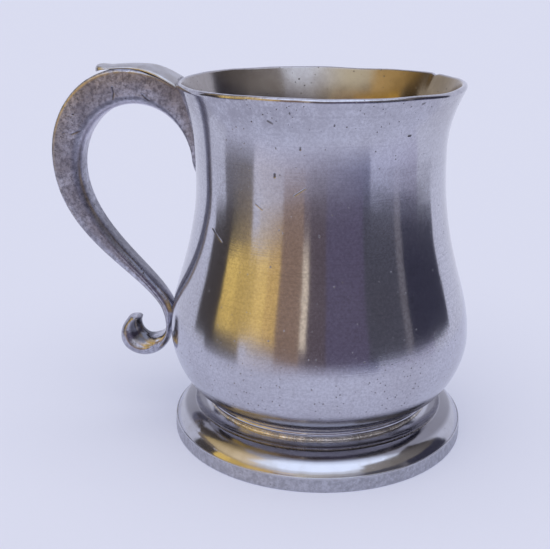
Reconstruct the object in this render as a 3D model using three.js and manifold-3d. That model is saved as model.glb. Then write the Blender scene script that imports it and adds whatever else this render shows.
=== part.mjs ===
// Pint mug of cast pewter: a tulip body on a spreading moulded foot, with a scroll handle
// and a thumb rest. Millimetres, +Z up. The mug stands on z = 0 with its handle along -X,
// and the origin lies on the table under the middle of its overall length.

import * as THREE from 'three';
import { mergeVertices } from 'three/addons/utils/BufferGeometryUtils.js';
import Module from 'manifold-3d';

const wasm = await Module();
wasm.setup();

// Body, turned about the mug's axis
const bodyHeight = 116.7;
const lipRadius = 44.25;
const lipRun = 6.2; // height over which the lip leans straight out
const lipLean = 2.9; // how far it leans over that height
const waistRadius = 39.3;
const waistDrop = 20.7; // narrowest place, down from the lip
const waistSweepUp = 8; // upright pull of the curve above the waist
const waistSweepDown = 33; // and below it
const bellyRadius = 49.45;
const bellyHeight = 36;
const bellySweepUp = 17; // upright pull of the curve above the belly
const bellySweepDown = 8.8; // and below it
const throatRadius = 37.4; // where the bowl meets its collar
const throatHeight = 14.9;
const throatRun = 4.4; // outward pull of the curve leaving the throat
const throatRise = 1.35; // and its rise
const wall = 1.9;
const floorThickness = 2.4;
const floorHeight = 16.4; // top of the floor at the middle of the mug

// Lap seam at the belly, where barrel and bowl are soldered
const lapHeight = 3;
const lapGap = 0.15;
const solderFilm = 0.5;

// Collar under the bowl and the soldered seat on the foot
const collarBead = 1.05; // radius of the half-round bead
const collarRadius = 38.25;
const neckRadius = 36.8;
const seatRadius = 30; // inner edge of the seat
const seatHeight = 11;
const solderBulge = 0.5; // how far the squeezed-out solder stands proud

// Foot mouldings, from the seat outwards
const coveShare = 0.43; // share of the way from the neck to the edge that is hollow moulding
const coveHeight = 10.1; // its outer edge
const coveDepth = 1.1; // pull of the hollow below that edge
const coveIn = 0.48; // and inwards from it, as a share of the hollow's width
const ovoloSwell = 0.85; // how far the convex moulding stands out from a straight slope
const ovoloInset = 0.4; // step in from the upright edge to the convex moulding
const sideHeight = 4.9; // top of the plain upright edge
const footRadius = 48.85;
const footEdge = 0.45; // bevel at the table
const standWidth = 4.45; // ring round the foot's hollow, bevel included
const underHeight = 8; // hollow under the foot

// Handle, swept between an outer rail along its back and an inner rail along the finger gap
const crownRise = 3.1; // top of the handle's back above the lip
const crownOut = 62; // that top's distance from the mug's axis
const rootDrop = 8.15; // fall of the back from the crown to the body
const rootInset = 3.2; // how far the sweep starts inside the lip
const tongueInset = 1.3; // inner rail clear of the waist where it runs down the body
const tongueTail = 2; // fade of the tongue below the loop's middle
const loopHalfWidth = 18.5; // finger gap
const loopDrop = 28.7; // its middle, down from the lip
const crownDepth = 10.9;
const gripDepth = 9.4;
const bendDrop = 25.2; // where the back stands furthest out, down from the lip
const backSweepDown = 31.5; // upright pull of the back below the bend
const backSweepUp = 17; // and above the neck
const loopSweepDown = 23; // upright pull of the inner rail below the loop's middle
const loopSweepUp = 12; // and above the seat on the belly
const neckDepth = 2.4; // back of the neck, out from the belly
const neckInset = 0.85; // inner rail sunk below the belly's surface
const neckSeat = 38; // height at which it reaches that depth
const curlRadius = 4.6; // hollow of the curl
const curlHeight = 34; // its centre
const curlTurn = 195; // degrees from the neck round to the beak
const terminalRadius = 9.8;
const terminalHeight = 31.9;
const terminalClear = 0.95; // terminal's round, out from the belly
const terminalTurn = 236;
const beakRadius = 5.3; // what the terminal's radius eases to
const beakStart = 0.6; // share of the turn after which it eases
const rootWidth = 13;
const crownWidth = 12.5;
const bendWidth = 11;
const neckWidth = 8.4;
const terminalWidth = 10.4;
const beakWidth = 5;
const crownSwell = 1; // rounding of the back across its width, at the crown
const neckSwell = 2.4; // and at the neck
const tongueBevel = 5.5; // rounding of the inner corners, at the tongue on the body
const loopBevel = 2; // at the loop
const terminalBevel = 3.4; // and on the terminal
const scoopRadius = 7.5; // dished cheeks of the terminal
const scoopDepth = 1.7;
const scoopOut = 1.6; // their centre, out from the terminal's
const scoopDrop = 1.2; // and below it

// Thumb rest on the handle's back
const thumbLength = 26.5; // from the lip outwards
const thumbThickness = 3.2; // at the lip
const thumbDip = 2.05; // how much thinner it is at the crown
const thumbLift = 0.8; // how far its end stands up off the handle
const thumbRootWidth = 17;
const thumbWidth = 8.8;
const nubRadius = 0.75; // rolled end
const nubLength = 5;

// Joints between handle, thumb rest and body
const jointGap = 0.3;
const padFilm = 0.35; // solder under the handle's ends
const padMargin = 1; // how far it shows on each side of the handle
const overLip = 12; // cutters reach this far above the lip

// Fineness
const turns = 48; // facets round the axis
const pewter = { color: 0x9a9aa6, roughness: 0.34, metalness: 1 };
const greyPewter = { color: 0x77747c, roughness: 0.46, metalness: 1 };
const solder = { color: 0xb9b4aa, roughness: 0.3, metalness: 1 };

const at = (across, up) => new THREE.Vector2(across, up);

// Points on a circle's or ellipse's arc, from one angle to another in degrees
function arc(centre, across, up, from, to, steps) {
  return Array.from({ length: steps + 1 }, (_, i) => {
    const angle = THREE.MathUtils.degToRad(from + (to - from) * i / steps);
    return at(centre.x + across * Math.cos(angle), centre.y + up * Math.sin(angle));
  });
}

// Points on a curve that leaves one point and reaches another under the given pulls
function sweep(from, leave, arrive, to, steps) {
  const curve = new THREE.CubicBezierCurve(from, from.clone().add(leave), to.clone().add(arrive), to);
  return curve.getPoints(steps);
}

// The points of a face moved square to it, to the left of the way it runs
function shifted(points, distance) {
  return points.map((point, i) => {
    const before = points[Math.max(i - 1, 0)];
    const after = points[Math.min(i + 1, points.length - 1)];
    const along = after.clone().sub(before).normalize();
    return at(point.x - along.y * distance, point.y + along.x * distance);
  });
}

// A solid turned about the mug's axis. Its outline runs up the outside.
function turned(outline) {
  return new THREE.LatheGeometry(outline, turns).rotateX(Math.PI / 2);
}

function closed(outline) {
  return [...outline, outline[0].clone()];
}

// Outer face of the body
const lipCentre = at(lipRadius - wall / 2, bodyHeight - wall / 2);
const lipSlope = at(lipLean, lipRun).normalize();
const lipTurn = THREE.MathUtils.radToDeg(Math.atan2(-lipSlope.x, lipSlope.y));
const lipStart = at(lipCentre.x + lipSlope.y * wall / 2, lipCentre.y - lipSlope.x * wall / 2);
const waistHeight = bodyHeight - waistDrop;
const waist = at(waistRadius, waistHeight);
const seamTop = at(bellyRadius, bellyHeight + solderFilm);
const seam = at(bellyRadius, bellyHeight);
const throat = at(throatRadius, throatHeight);

function barrelFace(lowerSteps, upperSteps) {
  const lower = sweep(seamTop, at(0, bellySweepUp), at(0, -waistSweepDown), waist, lowerSteps);
  const upper = sweep(waist, at(0, waistSweepUp), at(-lipLean, -lipRun), lipStart, upperSteps);
  return [...lower, ...upper.slice(1)];
}

function bowlFace(steps) {
  return sweep(throat, at(throatRun, throatRise), at(0, -bellySweepDown), seam, steps);
}

// Barrel: belly seam to lip, rebated inside to lap over the bowl
function barrel() {
  const lapRadius = bellyRadius - wall / 2 + lapGap / 2;
  const lapTop = bellyHeight + lapHeight + lapGap;
  const outer = barrelFace(8, 6);
  const lip = arc(lipCentre, wall / 2, wall / 2, lipTurn, lipTurn + 180, 4);
  const inner = shifted(barrelFace(6, 4), wall).filter((point) => point.y > lapTop + wall);
  const rebate = [at(bellyRadius - wall, lapTop), at(lapRadius, lapTop), at(lapRadius, seamTop.y)];
  return turned(closed([...outer, ...lip.slice(1), ...inner.reverse().slice(1), ...rebate]));
}

// Bowl: floor, rounded lower wall with a tongue at the seam, and the collar below
function bowl() {
  const lapRadius = bellyRadius - wall / 2 - lapGap / 2;
  const seatTop = seatHeight + solderFilm;
  const beadHeight = throatHeight - collarBead * 1.2;
  const bead = arc(at(collarRadius - collarBead, beadHeight), collarBead, collarBead, -80, 80, 5);
  const tongueTop = bellyHeight + lapHeight;
  const under = [at(0, floorHeight - floorThickness), at(seatRadius, floorHeight - floorThickness)];
  const collar = [at(seatRadius, seatTop), at(neckRadius, seatTop), ...bead];
  const tongue = [at(lapRadius, bellyHeight), at(lapRadius, tongueTop), at(bellyRadius - wall, tongueTop)];
  const inner = shifted(bowlFace(6), wall).reverse().filter((point) => point.y > floorHeight + wall / 2);
  const floor = [at(inner[inner.length - 1].x - wall * 2, floorHeight), at(0, floorHeight)];
  return turned([...under, ...collar, ...bowlFace(7), ...tongue, ...inner, ...floor]);
}

function bellySolder() {
  const inside = bellyRadius - wall / 2 + lapGap / 2;
  return turned(closed([at(inside, seam.y), seam, seamTop, at(inside, seamTop.y)]));
}

// Solder squeezed out round the neck between collar and foot
function footSolder() {
  const middle = at(neckRadius, seatHeight + solderFilm / 2);
  const bulge = arc(middle, solderBulge, solderFilm / 2, -90, 90, 4);
  return turned(closed([at(seatRadius, seatHeight), ...bulge, at(seatRadius, seatHeight + solderFilm)]));
}

// Foot: stand ring, upright edge, ovolo, cove and seat, hollow underneath
function footRing() {
  const standRadius = footRadius - standWidth;
  const coveWidth = coveShare * (footRadius - ovoloInset - neckRadius);
  const edge = [at(standRadius, 0), at(footRadius - footEdge, 0), at(footRadius, footEdge)];
  const side = [at(footRadius - footEdge / 4, sideHeight), at(footRadius - ovoloInset, sideHeight)];
  const cove = at(neckRadius + coveWidth, coveHeight);
  const slope = cove.clone().sub(side[1]).normalize();
  const swell = at(slope.y, -slope.x).multiplyScalar(ovoloSwell * 2);
  const middle = side[1].clone().lerp(cove, 0.5).add(swell);
  const ovolo = new THREE.QuadraticBezierCurve(side[1], middle, cove).getPoints(6);
  const seat = at(neckRadius, seatHeight);
  const pull = at(cove.x - coveIn * coveWidth, coveHeight - coveDepth);
  const hollow = new THREE.QuadraticBezierCurve(cove, pull, seat).getPoints(6);
  const inside = at(seatRadius, underHeight);
  const corner = at(standRadius, underHeight);
  const under = new THREE.QuadraticBezierCurve(inside, corner, at(standRadius, 0)).getPoints(5);
  const top = at(seatRadius, seatHeight);
  return turned(closed([...edge, ...side, ...ovolo.slice(1), ...hollow.slice(1), top, ...under.slice(0, -1)]));
}

// Rails of the handle in its own plane: distance out from the mug's axis, and height.
// They run from the root under the lip, over the crown and the bend, down to the neck on the
// belly and round the curl to the beak, with as many points on each.
const crownHeight = bodyHeight + crownRise;
const loopHeight = bodyHeight - loopDrop;
const bendHeight = bodyHeight - bendDrop;
const loopCentre = at(waistRadius + tongueInset + loopHalfWidth, loopHeight);
const loopHalfHeight = crownHeight - crownDepth - loopHeight;
const handleReach = loopCentre.x + loopHalfWidth + gripDepth;
const neckBack = at(bellyRadius + neckDepth, curlHeight);
const neckFront = at(bellyRadius - neckInset, neckSeat);
const curlCentre = at(neckBack.x + curlRadius, curlHeight);
const terminalCentre = at(bellyRadius + terminalClear + terminalRadius, terminalHeight);
const rootSteps = 9;
const crownSteps = 9;
const runSteps = 12;
const curlSteps = 16;

function backRail() {
  const rootSpread = crownOut - (lipRadius - rootInset);
  const rootArc = (rootSpread ** 2 + rootDrop ** 2) / (2 * rootDrop);
  const rootAngle = THREE.MathUtils.radToDeg(Math.acos(-rootSpread / rootArc));
  const rootCentre = at(crownOut, crownHeight - rootArc);
  const root = arc(rootCentre, rootArc, rootArc, rootAngle, 90, rootSteps);
  const start = at(root[0].x - tongueTail, root[0].y - tongueTail);
  const bendCentre = at(crownOut, bendHeight);
  const bend = arc(bendCentre, handleReach - crownOut, crownHeight - bendHeight, 90, 0, crownSteps);
  const run = sweep(at(handleReach, bendHeight), at(0, -backSweepDown), at(0, backSweepUp), neckBack, runSteps);
  const curl = arc(curlCentre, curlRadius, curlRadius, -180, curlTurn - 180, curlSteps);
  return [start, ...root, ...bend.slice(1), ...run.slice(1), ...curl.slice(1)];
}

function loopRail() {
  const loop = arc(loopCentre, loopHalfWidth, loopHalfHeight, 180, 0, rootSteps + crownSteps);
  const start = at(waistRadius, loopHeight - tongueTail);
  const middle = at(loopCentre.x + loopHalfWidth, loopHeight);
  const run = sweep(middle, at(0, -loopSweepDown), at(0, loopSweepUp), neckFront, runSteps);
  const round = Array.from({ length: curlSteps }, (_, i) => {
    const share = (i + 1) / curlSteps;
    const ease = THREE.MathUtils.smoothstep(share, beakStart, 1);
    const radius = THREE.MathUtils.lerp(terminalRadius, beakRadius, ease);
    const angle = THREE.MathUtils.degToRad(terminalTurn * share - 180);
    return at(terminalCentre.x + radius * Math.cos(angle), terminalCentre.y + radius * Math.sin(angle));
  });
  return [start, ...loop, ...run.slice(1), ...round];
}

// A size that runs from value to value over the stages of the handle
function alongHandle(values) {
  const steps = [rootSteps + 1, crownSteps, runSteps, curlSteps / 2, curlSteps / 2];
  const sizes = [values[0]];
  steps.forEach((count, stage) => {
    for (let i = 1; i <= count; i++) {
      sizes.push(THREE.MathUtils.lerp(values[stage], values[stage + 1], i / count));
    }
  });
  return sizes;
}

// Outline of one section of the handle: across its width, and down from its back.
// The back is swelled, and the two inner corners are rounded.
function handleSection(width, depth, swell, bevel) {
  const rise = Math.min(swell, depth * 0.45);
  const corner = Math.min(bevel, depth * 0.5, width * 0.45);
  const back = arc(at(0, rise), width / 2, rise, -180, 0, 6);
  const right = arc(at(width / 2 - corner, depth - corner), corner, corner, 0, 90, 2);
  const left = arc(at(corner - width / 2, depth - corner), corner, corner, 90, 180, 2);
  return [...back, ...right, ...left];
}

// A closed skin over sections that all have the same number of points
function loft(sections) {
  const count = sections[0].length;
  const positions = sections.flat().flatMap((point) => point.toArray());
  const faces = [];
  for (let s = 0; s + 1 < sections.length; s++) {
    for (let i = 0; i < count; i++) {
      const a = s * count + i;
      const b = s * count + (i + 1) % count;
      faces.push(a, b, a + count, b, b + count, a + count);
    }
  }
  const last = (sections.length - 1) * count;
  for (let i = 1; i + 1 < count; i++) {
    faces.push(0, i + 1, i, last, last + i, last + i + 1);
  }
  const geometry = new THREE.BufferGeometry();
  geometry.setAttribute('position', new THREE.Float32BufferAttribute(positions, 3));
  geometry.setIndex(faces);
  return geometry;
}

function handleSweep(extraWidth) {
  const back = backRail();
  const front = loopRail();
  const widths = alongHandle([rootWidth, crownWidth, bendWidth, neckWidth, terminalWidth, beakWidth]);
  const swells = alongHandle([crownSwell, crownSwell, crownSwell, neckSwell, neckSwell, crownSwell]);
  const bevels = alongHandle([tongueBevel, loopBevel, loopBevel, loopBevel, terminalBevel, terminalBevel]);
  const sections = back.map((point, i) => {
    const across = front[i].clone().sub(point);
    const depth = across.length();
    const outline = handleSection(widths[i] + extraWidth, depth, swells[i], bevels[i]);
    return outline.map((spot) => {
      const place = point.clone().addScaledVector(across, spot.y / depth);
      return new THREE.Vector3(-place.x, spot.x, place.y);
    });
  });
  return loft(sections);
}

// Solids to join and cut, and back to a mesh's geometry
function solid(geometry) {
  const bare = geometry.clone();
  bare.deleteAttribute('normal');
  bare.deleteAttribute('uv');
  const merged = mergeVertices(bare, 1e-4);
  const vertProperties = new Float32Array(merged.attributes.position.array);
  const triVerts = new Uint32Array(merged.index.array);
  return new wasm.Manifold(new wasm.Mesh({ numProp: 3, vertProperties, triVerts }));
}

function skin(shape) {
  const mesh = shape.getMesh();
  const geometry = new THREE.BufferGeometry();
  geometry.setAttribute('position', new THREE.Float32BufferAttribute(mesh.vertProperties, 3));
  geometry.setIndex([...mesh.triVerts]);
  return geometry;
}

// The body's outer shape grown by a clearance, filled to the axis and carried up past the lip
function grownBody(clearance) {
  const face = shifted([...bowlFace(7), ...barrelFace(8, 6)], -clearance);
  const top = bodyHeight + overLip;
  const over = [at(lipRadius + clearance, bodyHeight - wall / 2), at(lipRadius + clearance, top), at(0, top)];
  return solid(turned([at(0, face[0].y), ...face, ...over]));
}

const handleCut = grownBody(jointGap + padFilm + jointGap);
const padOuter = grownBody(jointGap + padFilm);
const padInner = grownBody(jointGap);

// Dished cheek on one side of the terminal
function scoop(side) {
  const ball = new THREE.SphereGeometry(scoopRadius, 20, 12);
  const out = terminalWidth / 2 + scoopRadius - scoopDepth;
  ball.translate(-terminalCentre.x - scoopOut, side * out, terminalCentre.y - scoopDrop);
  return solid(ball);
}

function handle() {
  const trimmed = solid(handleSweep(0)).subtract(handleCut);
  return skin(trimmed.subtract(scoop(1)).subtract(scoop(-1)));
}

// Solder between the handle and the body, above or below the middle of the barrel
function handlePad(upper) {
  const film = solid(handleSweep(padMargin * 2)).intersect(padOuter).subtract(padInner);
  const size = handleReach * 2;
  const middle = (waistHeight + bellyHeight) / 2;
  const half = new THREE.BoxGeometry(size, size, size);
  half.translate(0, 0, middle + (upper ? size / 2 : -size / 2));
  return skin(film.intersect(solid(half)));
}

// Thumb rest: a tongue that lies along the handle's back from the lip to a rolled end
function thumbRest() {
  const steps = 16;
  const reach = lipRadius + thumbLength;
  const rail = backRail().slice(1, 1 + rootSteps + crownSteps);
  const line = new THREE.SplineCurve(rail);
  const fine = line.getPoints(160).filter((point) => point.x < reach);
  const path = Array.from({ length: steps + 1 }, (_, i) => fine[Math.round(i * (fine.length - 1) / steps)]);
  const outward = path.map((point) => THREE.MathUtils.clamp((point.x - lipRadius) / thumbLength, 0, 1));
  path.forEach((point, i) => {
    point.y += thumbLift * THREE.MathUtils.smoothstep(outward[i], 0.72, 1);
  });
  const lower = shifted(path, jointGap);
  const sections = lower.map((point, i) => {
    const fromEnd = Math.max(0, reach - point.x);
    const share = outward[i];
    const spread = THREE.MathUtils.smoothstep(1 - share, 0.35, 1);
    const width = THREE.MathUtils.lerp(thumbWidth, thumbRootWidth, spread);
    const roll = 1 - THREE.MathUtils.smoothstep(fromEnd, nubRadius, nubLength);
    const plate = thumbThickness - thumbDip * THREE.MathUtils.smoothstep(share, 0, 0.72);
    const thickness = THREE.MathUtils.lerp(plate, nubRadius * 2, roll);
    const round = Math.sqrt(1 - Math.max(0, 1 - fromEnd / nubRadius) ** 2);
    const upper = shifted(path, jointGap + thickness * Math.max(round, 0.3))[i];
    return thumbSection(width * Math.max(round, 0.6), point, upper);
  });
  return skin(solid(loft(sections)).subtract(padInner));
}

// Outline of one section of the thumb rest: flat below, rounded over on top
function thumbSection(width, lower, upper) {
  const across = [-0.5, -0.49, -0.43, -0.28, 0, 0.28, 0.43, 0.49, 0.5];
  const lift = [0, 0.3, 0.62, 0.88, 1, 0.88, 0.62, 0.3, 0];
  return across.map((share, i) => {
    const spot = lower.clone().lerp(upper, lift[i]);
    return new THREE.Vector3(-spot.x, width * share, spot.y);
  });
}

function piece(name, geometry, finish) {
  const mesh = new THREE.Mesh(geometry, new THREE.MeshStandardMaterial(finish));
  mesh.name = name;
  return mesh;
}

const mug = new THREE.Group();
mug.name = 'pewter_mug';
mug.position.x = (handleReach - bellyRadius) / 2;
mug.add(
  piece('barrel', barrel(), pewter),
  piece('bowl', bowl(), pewter),
  piece('belly_solder', bellySolder(), solder),
  piece('foot_ring', footRing(), pewter),
  piece('foot_solder', footSolder(), solder),
  piece('handle', handle(), greyPewter),
  piece('upper_handle_solder', handlePad(true), solder),
  piece('lower_handle_solder', handlePad(false), solder),
  piece('thumb_rest', thumbRest(), pewter),
);

export default mug;
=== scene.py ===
import math

import bmesh
import bpy
import numpy as np
from mathutils import Matrix, Vector


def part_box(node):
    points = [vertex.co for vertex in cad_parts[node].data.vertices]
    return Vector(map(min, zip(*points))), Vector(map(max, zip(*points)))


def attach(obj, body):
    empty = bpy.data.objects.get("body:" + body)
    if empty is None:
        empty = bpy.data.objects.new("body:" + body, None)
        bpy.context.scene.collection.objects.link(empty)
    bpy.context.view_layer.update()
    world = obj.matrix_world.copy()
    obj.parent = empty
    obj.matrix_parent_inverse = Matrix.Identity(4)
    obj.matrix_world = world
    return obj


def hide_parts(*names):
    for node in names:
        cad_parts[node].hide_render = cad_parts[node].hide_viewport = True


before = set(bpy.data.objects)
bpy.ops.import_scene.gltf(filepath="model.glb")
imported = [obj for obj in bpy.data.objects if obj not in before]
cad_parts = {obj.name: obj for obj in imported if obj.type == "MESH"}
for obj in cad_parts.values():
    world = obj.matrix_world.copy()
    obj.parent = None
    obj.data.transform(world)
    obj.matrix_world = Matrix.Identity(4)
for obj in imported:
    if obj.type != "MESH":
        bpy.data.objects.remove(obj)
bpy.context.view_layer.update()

# Body: barrel, bowl and belly seam
# The body is two pewter castings turned smooth on a lathe: a waisted barrel with a rounded
# lip, and a bowl with the floor and a beaded collar. They lap at the belly, where a ring of
# solder fills the seam. Use has knocked the barrel a little out of round beside the handle.

mm = 0.001
foot_low, foot_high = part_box("foot_ring")
axis_x = (foot_low.x + foot_high.x) / 2

body_height = 116.7
wall = 1.9
lip_radius = 44.25
lip_run, lip_lean = 6.2, 2.9
lip_worn = 0.9
waist = (39.3, 96.0)
waist_pull_up, waist_pull_down = 8.0, 33.0
belly = (49.38, 36.0)
belly_pull_up, belly_pull_down = 17.0, 8.8
seam_lean = 0.045
seam_height = 0.5
lap_height = 3.0
lap_gap = 0.15
throat = (37.4, 14.9)
throat_pull = (5.8, 0.9)
floor_height, floor_thickness = 16.4, 2.4
neck_radius, seat_radius, seat_top = 36.8, 30.0, 11.5
bead_radius, bead_out = 1.05, 38.25
floor_fillet, floor_pulls = 6.0, ((-1.6, -0.7), (2.0, 0))
bulge, bulge_low, bulge_high = 1.55, 76.0, 107.0
bulge_ease, ease_low, ease_high = 0.2, 108.0, 117.0
worn_angle, worn_spread = 4.0, 9.0
lip_waves = [(0.22, 3, 0.6), (0.12, 7, 2.0), (0.07, 13, 0.0)]
lip_wear, worn_low, worn_high = 0.2, 108.0, 116.5
nick_depth, nick_angle, nick_width = 0.55, 33.0, 0.03
facets, chuck_radius = 256, 30.0


def bend(start, leave, arrive, end, steps):
    """Points on a curve that leaves one point and reaches another under two pulls."""
    t = np.linspace(0, 1, steps + 1)[:, None]
    first, last = np.array(start, float), np.array(end, float)
    near, far = first + np.array(leave), last + np.array(arrive)
    return (1 - t) ** 3 * first + 3 * (1 - t) ** 2 * t * near + 3 * (1 - t) * t ** 2 * far + t ** 3 * last


def round_about(centre, across, up, first, last, steps):
    """Points on an arc, from one angle to another in degrees."""
    turn = np.radians(np.linspace(first, last, steps + 1))
    return np.column_stack([centre[0] + across * np.cos(turn), centre[1] + up * np.sin(turn)])


def straight(start, end, steps):
    return np.linspace(np.array(start, float), np.array(end, float), steps + 1)


def moved_square(points, distance):
    """The points of a face moved square to it, to the left of the way it runs."""
    along = np.gradient(points, axis=0)
    along /= np.linalg.norm(along, axis=1)[:, None]
    return points + distance * np.column_stack([-along[:, 1], along[:, 0]])


def eased_step(value, low, high):
    share = np.clip((value - low) / (high - low), 0, 1)
    return share * share * (3 - 2 * share)


lip_centre = np.array([lip_radius - wall / 2, body_height - wall / 2])
lip_slope = np.array([lip_lean, lip_run]) / math.hypot(lip_lean, lip_run)
lip_turn = math.degrees(math.atan2(-lip_slope[0], lip_slope[1]))
lip_start = lip_centre + wall / 2 * np.array([lip_slope[1], -lip_slope[0]])
seam_top = (belly[0], belly[1] + seam_height)
bowl_face = bend(throat, throat_pull, (seam_lean * belly_pull_down, -belly_pull_down), belly, 40)
barrel_face = np.vstack([
    bend(seam_top, (-seam_lean * belly_pull_up, belly_pull_up), (0, -waist_pull_down), waist, 60),
    bend(waist, (0, waist_pull_up), (-lip_lean, -lip_run), lip_start, 30)[1:],
])
body_face = np.vstack([bowl_face, barrel_face])


def out_of_round(height, turn):
    """How far the barrel stands out beside the handle, by height and angle round the axis."""
    rise = eased_step(height, bulge_low, bulge_high)
    rise = rise * (1 - bulge_ease * eased_step(height, ease_low, ease_high))
    return bulge * rise * np.clip(-np.cos(turn), 0, 1) ** 3


def true_radius(height):
    """Outer radius of the body as it was turned, with its lip carried straight up."""
    return np.interp(height, body_face[:, 1], body_face[:, 0])


def body_radius(height, turn):
    return true_radius(height) + out_of_round(height, turn)


def put(tree, kind, inputs=(), **settings):
    """One node, with its settings, and its inputs by name or number: values, sockets, or nodes
    that stand for their first output."""
    made = tree.nodes.new(kind)
    for name, value in settings.items():
        setattr(made, name, value)
    for socket, value in dict(inputs).items():
        if isinstance(value, bpy.types.Node):
            value = value.outputs[0]
        if isinstance(value, bpy.types.NodeSocket):
            tree.links.new(value, made.inputs[socket])
        else:
            made.inputs[socket].default_value = value
    return made


def maths(tree, operation, *values):
    return put(tree, "ShaderNodeMath", enumerate(values), operation=operation).outputs[0]


def times(tree, first, second):
    return maths(tree, "MULTIPLY", first, second)


def plus(tree, first, second):
    return maths(tree, "ADD", first, second)


def less(tree, first, second):
    return maths(tree, "SUBTRACT", first, second)


def most(tree, *values):
    """The largest of some values."""
    found = values[0]
    for value in values[1:]:
        found = maths(tree, "MAXIMUM", found, value)
    return found


def shape_tree(name, inputs, output):
    """An empty Geometry Nodes tree with named inputs and one output, and its given sockets."""
    tree = bpy.data.node_groups.new(name, "GeometryNodeTree")
    for title, kind in inputs:
        tree.interface.new_socket(title, in_out="INPUT", socket_type="NodeSocket" + kind)
    tree.interface.new_socket(output, in_out="OUTPUT", socket_type="NodeSocketGeometry")
    return tree, tree.nodes.new("NodeGroupInput").outputs


def put_out(tree, shape, finish, output):
    """The end of a tree: real geometry with its finish."""
    real = put(tree, "GeometryNodeRealizeInstances", {"Geometry": shape})
    coat = put(tree, "GeometryNodeSetMaterial", {"Geometry": real, "Material": finish})
    put(tree, "NodeGroupOutput", {output: coat})
    return tree


def lathe():
    """Geometry Nodes: an outline, distance out from the axis by height, turned about the axis."""
    tree, given = shape_tree("Turned on the lathe", [
        ("Outline", "Geometry"), ("Facets", "Int"), ("Chuck radius", "Float"),
        ("Axis", "Vector"), ("Finish", "Material"),
    ], "Piece")
    line = put(tree, "GeometryNodeMeshToCurve", {"Mesh": given["Outline"]})
    inward = put(tree, "ShaderNodeCombineXYZ", {"X": times(tree, given["Chuck radius"], -1.0)})
    profile = put(tree, "GeometryNodeTransform", {
        "Geometry": line, "Translation": inward, "Scale": (1.0, -1.0, 1.0)})
    circle = put(tree, "GeometryNodeCurvePrimitiveCircle", {
        "Resolution": given["Facets"], "Radius": given["Chuck radius"]})
    sweep = put(tree, "GeometryNodeCurveToMesh", {"Curve": circle, "Profile Curve": profile})
    joined = put(tree, "GeometryNodeMergeByDistance", {"Geometry": sweep, "Distance": 1e-6})
    placed = put(tree, "GeometryNodeTransform", {"Geometry": joined, "Translation": given["Axis"]})
    return put_out(tree, placed, given["Finish"], "Piece")


def set_up(piece, tree, values):
    """A Geometry Nodes modifier on the piece, with its named inputs set."""
    work = piece.modifiers.new(tree.name, "NODES")
    work.node_group = tree
    for socket in tree.interface.items_tree:
        if socket.name in values:
            work[socket.identifier] = values[socket.name]


def made_plain(piece, sharp):
    """The evaluated piece as a plain mesh whose faces point outwards, smooth but for sharp angles."""
    bpy.context.view_layer.update()
    graph = bpy.context.evaluated_depsgraph_get()
    shape = bpy.data.meshes.new_from_object(piece.evaluated_get(graph))
    piece.modifiers.clear()
    piece.data = shape
    work = bmesh.new()
    work.from_mesh(shape)
    bmesh.ops.remove_doubles(work, verts=work.verts, dist=1e-7)
    bmesh.ops.recalc_face_normals(work, faces=work.faces)
    work.to_mesh(shape)
    work.free()
    shape.shade_smooth()
    shape.set_sharp_from_angle(angle=math.radians(sharp))
    return piece


lathe_work = lathe()


def in_scene(name, shape):
    piece = bpy.data.objects.new(name, shape)
    bpy.context.collection.objects.link(piece)
    return piece


def built(name, points, edges, faces):
    """A piece from its points, edges and faces."""
    shape = bpy.data.meshes.new(name)
    shape.from_pydata(points, edges, faces)
    return in_scene(name, shape)


def turned(name, outline, closed, finish):
    """A piece turned from its outline in millimetres. An open outline starts and ends on the axis."""
    count = len(outline)
    edges = [(i, i + 1) for i in range(count - 1)] + ([(count - 1, 0)] if closed else [])
    piece = built(name, [(r * mm, h * mm, 0) for r, h in outline], edges, [])
    set_up(piece, lathe_work, {
        "Facets": facets,
        "Chuck radius": chuck_radius * mm,
        "Axis": (axis_x, 0.0, 0.0),
        "Finish": finish,
    })
    return made_plain(piece, 35)


def points_of(piece):
    spots = np.empty(len(piece.data.vertices) * 3, np.float32)
    piece.data.vertices.foreach_get("co", spots)
    return spots.reshape(-1, 3).astype(float)


def set_points(piece, spots):
    piece.data.vertices.foreach_set("co", spots.astype(np.float32).ravel())
    piece.data.update()


def mark(piece, name, values):
    """A value at each point, for the material."""
    piece.data.attributes.new(name, "FLOAT", "POINT").data.foreach_set("value", values.astype(np.float32))


def ramp(tree, value, low, high, first=0.0, last=1.0):
    """A smooth run from first to last as the value goes from low to high."""
    ends = {"Value": value, "From Min": low, "From Max": high, "To Min": first, "To Max": last}
    return put(tree, "ShaderNodeMapRange", ends, interpolation_type="SMOOTHSTEP").outputs[0]


def tinted(tree, share, under, over):
    return put(tree, "ShaderNodeMix", {0: share, 6: under, 7: over}, data_type="RGBA").outputs[2]


def layered(tree, colour, layers):
    """A colour with others laid over it: where each one lies, and how much of it shows there."""
    for share, much, over in layers:
        colour = tinted(tree, times(tree, share, much), colour, over)
    return colour


def spot_of(tree):
    return put(tree, "ShaderNodeTexCoord").outputs["Object"]


def clouds(tree, scale, detail=3.0, rough=0.55):
    """Soft uneven patches over the piece, 0 to 1."""
    noise = {"Vector": spot_of(tree), "Scale": scale, "Detail": detail, "Roughness": rough}
    return put(tree, "ShaderNodeTexNoise", noise).outputs["Fac"]


def effect(name, inputs, output):
    """An empty shader group, its given sockets and the place for its result."""
    tree = bpy.data.node_groups.new(name, "ShaderNodeTree")
    for title, value in inputs.items():
        kind = "NodeSocketVector" if isinstance(value, tuple) else "NodeSocketFloat"
        tree.interface.new_socket(title, in_out="INPUT", socket_type=kind).default_value = value
    tree.interface.new_socket(output, in_out="OUTPUT", socket_type="NodeSocketFloat")
    return tree, tree.nodes.new("NodeGroupInput").outputs, tree.nodes.new("NodeGroupOutput").inputs[0]


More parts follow.
